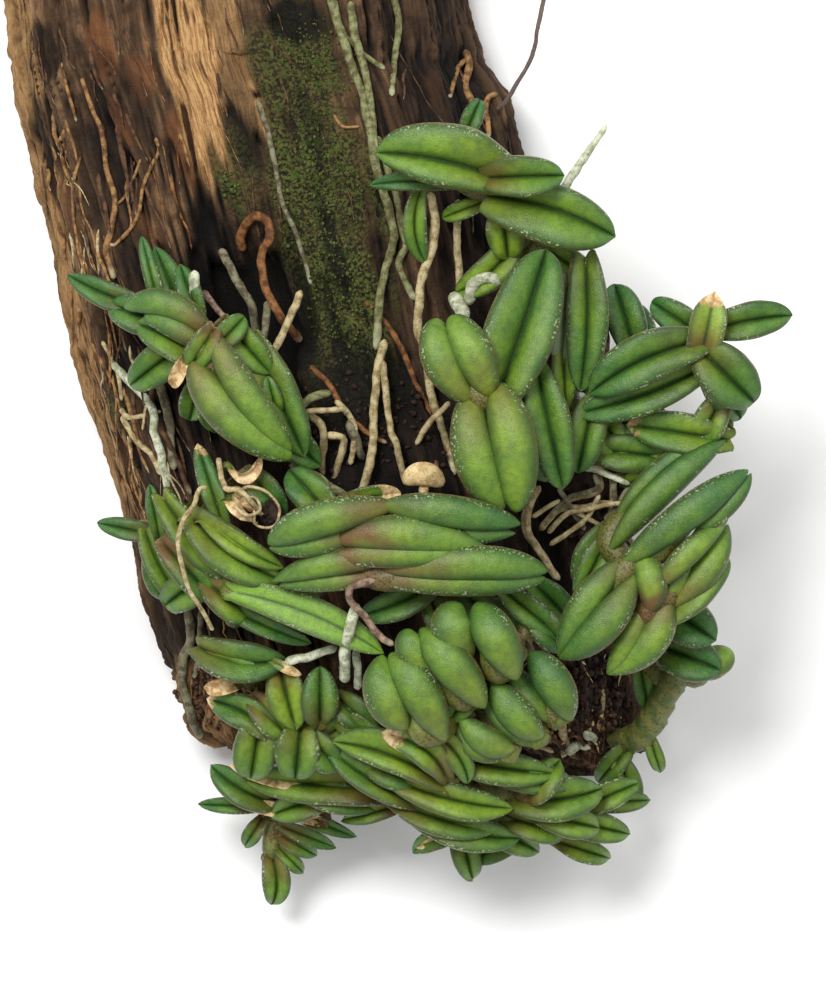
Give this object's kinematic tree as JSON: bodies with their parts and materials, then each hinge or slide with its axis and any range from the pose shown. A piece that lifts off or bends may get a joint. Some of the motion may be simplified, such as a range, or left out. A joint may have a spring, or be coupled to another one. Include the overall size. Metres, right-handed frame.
{
  "type": "creeping miniature orchid on weathered wood",
  "caption": "Creeping miniature orchid: fleshy grooved leaves in two rows on creeping stems, with aerial roots, grown over a piece of weathered wood that rests on its flat back.",
  "frame": {"origin": "middle of the wood's flat back, on the surface that it rests on", "axes": "+Z up out of the wood towards the plant, +Y towards the wood's upper end, +X to the right of a viewer who looks down on the plant with +Y up"},
  "size_m": [0.1604, 0.2146, 0.069],
  "materials": {
    "weathered_wood": "rough, mossy and weathered",
    "leaf": "waxy semi-gloss with fine papillae",
    "shoot": "satin, speckled sheaths",
    "root": "matte, papery",
    "twig": "matte, dry"
  },
  "bodies": {
    "root": {"wood": "weathered_wood", "dry_twig": "twig", "centre_leaf_young": "leaf", "centre_leaf_upper_left": "leaf", "centre_leaf_upper_right": "leaf", "centre_leaf_lower_right": "leaf", "middle_leaf_upper_left": "leaf", "middle_leaf_lower": "leaf", "middle_leaf_upper_right": "leaf", "middle_leaf_lower_right": "leaf", "side_leaf_upper": "leaf", "top_leaf_young": "leaf", "top_leaf_left": "leaf", "top_leaf_right": "leaf", "front_leaf_1": "leaf", "front_leaf_2": "leaf", "front_leaf_3": "leaf", "front_leaf_4": "leaf", "front_leaf_5": "leaf", "front_leaf_6": "leaf", "outer_leaf_1": "leaf", "outer_leaf_2": "leaf", "outer_leaf_3": "leaf", "outer_leaf_4": "leaf", "right_leaf_1": "leaf", "right_leaf_2": "leaf", "right_leaf_3": "leaf", "right_leaf_4": "leaf", "left_leaf_lower_right": "leaf", "left_leaf_upper_left": "leaf", "left_leaf_inner": "leaf", "low_leaf_light": "leaf", "low_leaf_wide": "leaf", "bottom_leaf_1": "leaf", "bottom_leaf_2": "leaf", "bottom_leaf_3": "leaf", "centre_shoot": "shoot", "middle_shoot": "shoot", "side_shoot": "shoot", "top_shoot": "shoot", "front_shoot": "shoot", "outer_shoot": "shoot", "right_shoot": "shoot", "edge_shoot": "shoot", "left_shoot": "shoot", "low_left_shoot": "shoot", "corner_shoot": "shoot", "bottom_shoot": "shoot", "hanging_shoot": "shoot", "twin_roots": "root", "long_cream_root": "root", "white_tip_root": "root", "orange_root": "root", "branching_root": "root", "curled_root": "root", "left_edge_root": "root", "forked_cream_root": "root", "pinkish_root": "root", "white_root": "root", "right_roots": "root"}
  },
  "joints": []
}
